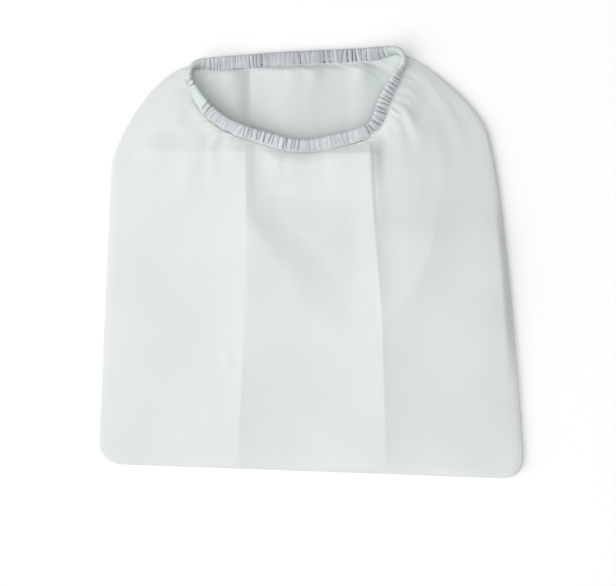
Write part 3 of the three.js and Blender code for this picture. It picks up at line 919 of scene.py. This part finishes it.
def overlock_piece(material):
    stops = loop_places()
    steps = np.diff(np.append(stops, stops[0] + mouth.length))
    turn = np.linspace(0, 1, LOOP_POINTS, endpoint=False)
    place = (stops[:, None] + steps[:, None] * turn).ravel()
    angle = np.tile(2 * np.pi * turn, len(stops))
    # The loops are knotted at the rim, and sink in where plain cloth covers them
    lift = THREAD * (0.8 - 3 * smooth(0.7, 1, round_mouth(PLAIN_CLOTH, place)))
    lift = lift + KNOT_HEIGHT * bell((angle - np.pi) / 0.25)
    radius = THREAD * (0.85 + 0.3 * np.repeat(chance.uniform(0, 1, len(stops)), LOOP_POINTS))
    strands = [tube(band_point(place, angle, lift), radius, THREAD_SIDES, closed=True)]

    starts = np.arange(0, mouth.length, STITCH_STEP)
    bow = np.linspace(0, 1, STITCH_POINTS)
    lift = THREAD * (3.2 * np.sin(np.pi * bow) ** 0.6 - 0.9)
    for start in starts:
        path = band_point(start + STITCH_LENGTH * bow, np.full(STITCH_POINTS, STITCH_ANGLE), lift)
        strands.append(tube(path, THREAD * 0.9, THREAD_SIDES))
    points = np.concatenate([strand for strand, _ in strands])
    firsts = np.cumsum([0] + [len(strand) for strand, _ in strands])
    faces = np.concatenate([numbers + first for (_, numbers), first in zip(strands, firsts)])

    spots = np.concatenate([place, (starts[:, None] + STITCH_LENGTH * bow).ravel()])
    turns = np.concatenate([angle, np.full(len(starts) * STITCH_POINTS, STITCH_ANGLE)])
    uv = np.repeat(np.stack([spots, turns * BAND_SKIN], -1), THREAD_SIDES, axis=0)
    # A few loops on the deep gathers are painted paler: painted highlight
    deep = round_mouth(GATHERS, stops) > 0.7
    loop_highlight = np.where(deep & (chance.uniform(0, 1, len(stops)) > 0.7), HIGHLIGHT_LOOPS, 0.0)
    loop_highlight = np.concatenate([np.repeat(loop_highlight, LOOP_POINTS), np.zeros(len(starts) * STITCH_POINTS)])
    marks = (
        ("gap", np.zeros(len(points))),
        ("pale", np.repeat(round_mouth(PALE_THREAD, spots) + loop_highlight, THREAD_SIDES)),
        ("bare", np.repeat(round_mouth(PLAIN_CLOTH, spots), THREAD_SIDES)),
    )
    return mesh_piece("overlock_thread", points, faces, uv, material, marks)


class Nodes:
    """Small helper that adds shader nodes to a material or a world and joins them."""

    def __init__(self, owner):
        owner.use_nodes = True
        self.owner = owner
        self.tree = owner.node_tree
        self.shader = self.tree.nodes.get("Principled BSDF")

    def add(self, kind, **settings):
        node = self.tree.nodes.new(kind)
        for key, value in settings.items():
            setattr(node, key, value)
        return node

    def join(self, source, target):
        self.tree.links.new(source, target)

    def coordinates(self, kind):
        return self.add("ShaderNodeTexCoord").outputs[kind]

    def mark(self, name):
        return self.add("ShaderNodeAttribute", attribute_name=name).outputs["Fac"]

    def math(self, operation, a, b):
        node = self.add("ShaderNodeMath", operation=operation)
        for socket, value in zip(node.inputs, (a, b)):
            if isinstance(value, (int, float)):
                socket.default_value = value
            else:
                self.join(value, socket)
        return node.outputs[0]

    def weigh(self, *parts):
        """The sum of values, each times its share."""
        total = self.math("MULTIPLY", *parts[0])
        for part in parts[1:]:
            total = self.math("ADD", total, self.math("MULTIPLY", *part))
        return total

    def seen_directly(self):
        """One for what the camera sees, also in a mirror or through glass, and nought for light."""
        path = self.add("ShaderNodeLightPath")
        direct = self.math("MAXIMUM", path.outputs["Is Camera Ray"], path.outputs["Is Glossy Ray"])
        return self.math("MAXIMUM", direct, path.outputs["Is Transmission Ray"])

    def noise(self, coords, scale, detail=3.0, roughness=0.5):
        node = self.add("ShaderNodeTexNoise")
        node.inputs["Scale"].default_value = scale
        node.inputs["Detail"].default_value = detail
        node.inputs["Roughness"].default_value = roughness
        self.join(coords, node.inputs["Vector"])
        return node.outputs["Fac"]

    def wave(self, coords, direction, period, distortion):
        node = self.add("ShaderNodeTexWave", bands_direction=direction)
        node.inputs["Scale"].default_value = 2 * math.pi / (20 * period)
        node.inputs["Distortion"].default_value = distortion
        node.inputs["Detail"].default_value = 1.0
        node.inputs["Detail Scale"].default_value = 2.0
        self.join(coords, node.inputs["Vector"])
        return node.outputs["Fac"]

    def ramp(self, value, *stops):
        node = self.add("ShaderNodeValToRGB")
        for element, (position, colour) in zip(node.color_ramp.elements, stops):
            element.position = position
            element.color = (*colour, 1)
        self.join(value, node.inputs["Fac"])
        return node.outputs["Color"]

    def mix(self, share, first, second):
        node = self.add("ShaderNodeMix", data_type="RGBA")
        self.join(share, node.inputs["Factor"])
        self.join(first, node.inputs[6])
        node.inputs[7].default_value = (*second, 1)
        return node.outputs[2]

    def bump(self, height, distance, strength, below=None):
        node = self.add("ShaderNodeBump")
        node.inputs["Strength"].default_value = strength
        node.inputs["Distance"].default_value = distance
        self.join(height, node.inputs["Height"])
        if below is not None:
            self.join(below, node.inputs["Normal"])
        return node.outputs["Normal"]


def srgb(*values):
    return tuple(((v / 255 + 0.055) / 1.055) ** 2.4 for v in values)


# The colours, each a darker and a paler tone, and the lengths of the fine patterns in metres
CLOTH_TONES = (srgb(225, 230, 227), srgb(233, 237, 234))
# The back panel's cloth is painted darker than the front, as the shade inside the bag
SHADED_BACK_TONES = (srgb(216, 224, 222), srgb(225, 231, 229))
THREAD_TONES = (srgb(202, 205, 213), srgb(246, 247, 249))
CORE_TONES = (srgb(170, 174, 182), srgb(214, 218, 221))
SEAM_TONES = (srgb(204, 208, 212), srgb(226, 229, 230))
RUBBER_TONES = (srgb(205, 205, 205), srgb(226, 226, 224))
FLOOR_TONES = ((0.9, 0.9, 0.9), (0.915, 0.915, 0.915))
PLAIN_TONE = srgb(208, 216, 213)
# Painted shade: the dark tone the edging is coloured in the gaps between its gathers
GAP_SHADE_TONE = srgb(128, 131, 140)
WEAVE_STEP = 0.00062
PLY_STEP = 0.0006
CORD_STEP = 0.0011
FLOOR_LIFT = 0.15  # how much brighter the floor looks to the camera
WORLD_LIGHT = 0.265


def cloth_material(name, tones):
    n = Nodes(bpy.data.materials.new(name))
    cut, body = n.coordinates("UV"), n.coordinates("Object")
    warp = n.wave(cut, "X", WEAVE_STEP, 0.6)
    weft = n.wave(cut, "Y", WEAVE_STEP, 0.6)
    over = n.math("MULTIPLY", warp, weft)
    under = n.math("MULTIPLY", n.math("SUBTRACT", 1.0, warp), n.math("SUBTRACT", 1.0, weft))
    slubs = n.noise(cut, 900, 4, 0.65)
    normal = n.bump(n.noise(body, 150), 0.00022, 0.6)
    normal = n.bump(slubs, 0.00010, 0.5, normal)
    normal = n.bump(n.math("ADD", over, under), 0.00007, 0.6, normal)
    n.join(normal, n.shader.inputs["Normal"])
    tone = n.weigh((n.noise(body, 14, 2), 0.8), (slubs, 0.2))
    n.join(n.ramp(tone, (0.3, tones[0]), (0.7, tones[1])), n.shader.inputs["Base Color"])
    n.join(n.math("ADD", n.math("MULTIPLY", slubs, 0.12), 0.8), n.shader.inputs["Roughness"])
    n.shader.inputs["Sheen Weight"].default_value = 0.1
    n.shader.inputs["Sheen Roughness"].default_value = 0.5
    n.shader.inputs["Specular IOR Level"].default_value = 0.25
    return n.owner


def thread_material(name, tones, pattern="UV"):
    """Thread laid side by side; its tone changes from loop to loop along the mouth."""
    n = Nodes(bpy.data.materials.new(name))
    cut, body = n.coordinates(pattern), n.coordinates("Object")
    lint = n.noise(body, 2600, 3, 0.6)
    stretched = n.add("ShaderNodeMapping")
    stretched.inputs["Scale"].default_value = (1.0, 0.06, 1.0)
    n.join(cut, stretched.inputs["Vector"])
    streaks = n.noise(stretched.outputs["Vector"], 520, 2, 0.6)
    normal = n.bump(n.wave(body, "DIAGONAL", PLY_STEP, 0.4), 0.00006, 0.6)
    n.join(n.bump(lint, 0.00005, 0.5, normal), n.shader.inputs["Normal"])
    tone = n.weigh((n.noise(body, 70, 2), 0.3), (lint, 0.15), (streaks, 0.55))
    tone = n.math("ADD", tone, n.mark("pale"))
    colour = n.ramp(tone, (0.32, tones[0]), (0.68, tones[1]))
    colour = n.mix(n.mark("bare"), colour, PLAIN_TONE)
    # Painted shade: the colour is drawn towards a dark grey in the gaps between the gathers
    colour = n.mix(n.mark("gap"), colour, GAP_SHADE_TONE)
    n.join(colour, n.shader.inputs["Base Color"])
    n.join(n.math("ADD", n.math("MULTIPLY", lint, 0.15), 0.62), n.shader.inputs["Roughness"])
    n.shader.inputs["Sheen Weight"].default_value = 0.2
    n.shader.inputs["Specular IOR Level"].default_value = 0.3
    return n.owner


def rubber_material(name, tones):
    n = Nodes(bpy.data.materials.new(name))
    body = n.coordinates("Object")
    lint = n.noise(body, 1500, 3, 0.6)
    normal = n.bump(n.wave(body, "DIAGONAL", CORD_STEP, 0.5), 0.0001, 0.6)
    n.join(n.bump(lint, 0.00005, 0.4, normal), n.shader.inputs["Normal"])
    n.join(n.ramp(lint, (0.3, tones[0]), (0.7, tones[1])), n.shader.inputs["Base Color"])
    n.join(n.math("ADD", n.math("MULTIPLY", lint, 0.2), 0.6), n.shader.inputs["Roughness"])
    return n.owner


def floor_material(name, tones):
    n = Nodes(bpy.data.materials.new(name))
    colour = n.ramp(n.noise(n.coordinates("Object"), 3, 2), (0.3, tones[0]), (0.7, tones[1]))
    n.join(colour, n.shader.inputs["Base Color"])
    n.shader.inputs["Roughness"].default_value = 1.0
    n.shader.inputs["Specular IOR Level"].default_value = 0.0
    glow = n.add("ShaderNodeEmission")
    n.join(n.math("MULTIPLY", n.seen_directly(), FLOOR_LIFT), glow.inputs["Strength"])
    both = n.add("ShaderNodeAddShader")
    n.join(n.shader.outputs[0], both.inputs[0])
    n.join(glow.outputs[0], both.inputs[1])
    n.join(both.outputs[0], n.tree.nodes["Material Output"].inputs["Surface"])
    return n.owner


cloth = cloth_material("white_cloth", CLOTH_TONES)
# A darker copy of the cloth for the back panel: painted shade inside the bag
shaded_back_cloth = cloth_material("white_cloth_back_shaded", SHADED_BACK_TONES)
band_thread = thread_material("edging_thread", THREAD_TONES)
band_core = thread_material("edging_core", CORE_TONES)
seam_finish = thread_material("seam_thread", SEAM_TONES, "Object")
rubber = rubber_material("elastic", RUBBER_TONES)

front = panel_piece("front_cloth", front_surface, front_place, 1, cloth)
back = panel_piece("back_cloth", back_surface, back_place, -1, shaded_back_cloth)
band = edging_piece(band_core)
overlock = overlock_piece(band_thread)

for piece, node, slot in (
    (front, "front_panel", "cloth"),
    (back, "back_panel", "cloth"),
    (band, "mouth_edging", "thread"),
    (overlock, "mouth_edging", "thread"),
):
    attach(piece, "root")
    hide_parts(node)

for node, material in (("elastic_band", rubber), ("seam_thread", seam_finish)):
    shown = bpy.data.objects[node]
    shown.data.materials.clear()
    shown.data.materials.append(material)

# The floor, the lamps and the camera
bpy.ops.mesh.primitive_plane_add(size=6, location=(0, 0, 0))
floor = bpy.context.object
floor.name = "floor"
floor.data.materials.append(floor_material("pale_floor", FLOOR_TONES))

world = bpy.data.worlds.new("studio")
bpy.context.scene.world = world
studio = Nodes(world)
backdrop = studio.tree.nodes["Background"]
backdrop.inputs["Color"].default_value = (1, 1, 1, 1)
level = studio.add("ShaderNodeMapRange")
studio.join(studio.seen_directly(), level.inputs["Value"])
level.inputs["To Min"].default_value = WORLD_LIGHT
level.inputs["To Max"].default_value = 1.0
studio.join(level.outputs[0], backdrop.inputs["Strength"])


def area_lamp(name, place, size, power):
    """A round lamp that shines at the middle of the bag."""
    data = bpy.data.lights.new(name, "AREA")
    data.shape = "DISK"
    data.size = size
    data.energy = power
    lamp = bpy.data.objects.new(name, data)
    lamp.location = place
    x, y, z = place
    lamp.rotation_euler = (math.atan2(math.hypot(x, y), z), 0, math.atan2(x, -y))
    bpy.context.scene.collection.objects.link(lamp)


# A wide lamp from the left, a softer one from above and a faint one from the front
area_lamp("key_lamp", (-3.9, -1.3, 3.3), 7.2, 258)
area_lamp("top_lamp", (0.2, 0.3, 4.0), 2.6, 45)
area_lamp("low_lamp", (-1.8, -3.2, 2.0), 3.0, 12)

# Straight above the bag, with the frame as wide as the photograph's
SCALE = 0.711e-3  # metres to a pixel
PHOTO_WIDTH = 616
SENSOR = 36
DISTANCE = 1.5
BAG_MIDDLE = (-0.0021, -0.0223, 0.006)
camera_data = bpy.data.cameras.new("camera")
camera_data.sensor_fit = "HORIZONTAL"
camera_data.sensor_width = SENSOR
camera_data.lens = SENSOR * DISTANCE / (PHOTO_WIDTH * SCALE)
camera = bpy.data.objects.new("camera", camera_data)
camera.location = (BAG_MIDDLE[0], BAG_MIDDLE[1], BAG_MIDDLE[2] + DISTANCE)
camera.rotation_euler = (0, 0, 0)
bpy.context.scene.collection.objects.link(camera)
bpy.context.scene.camera = camera
bpy.context.scene.view_settings.view_transform = "Standard"
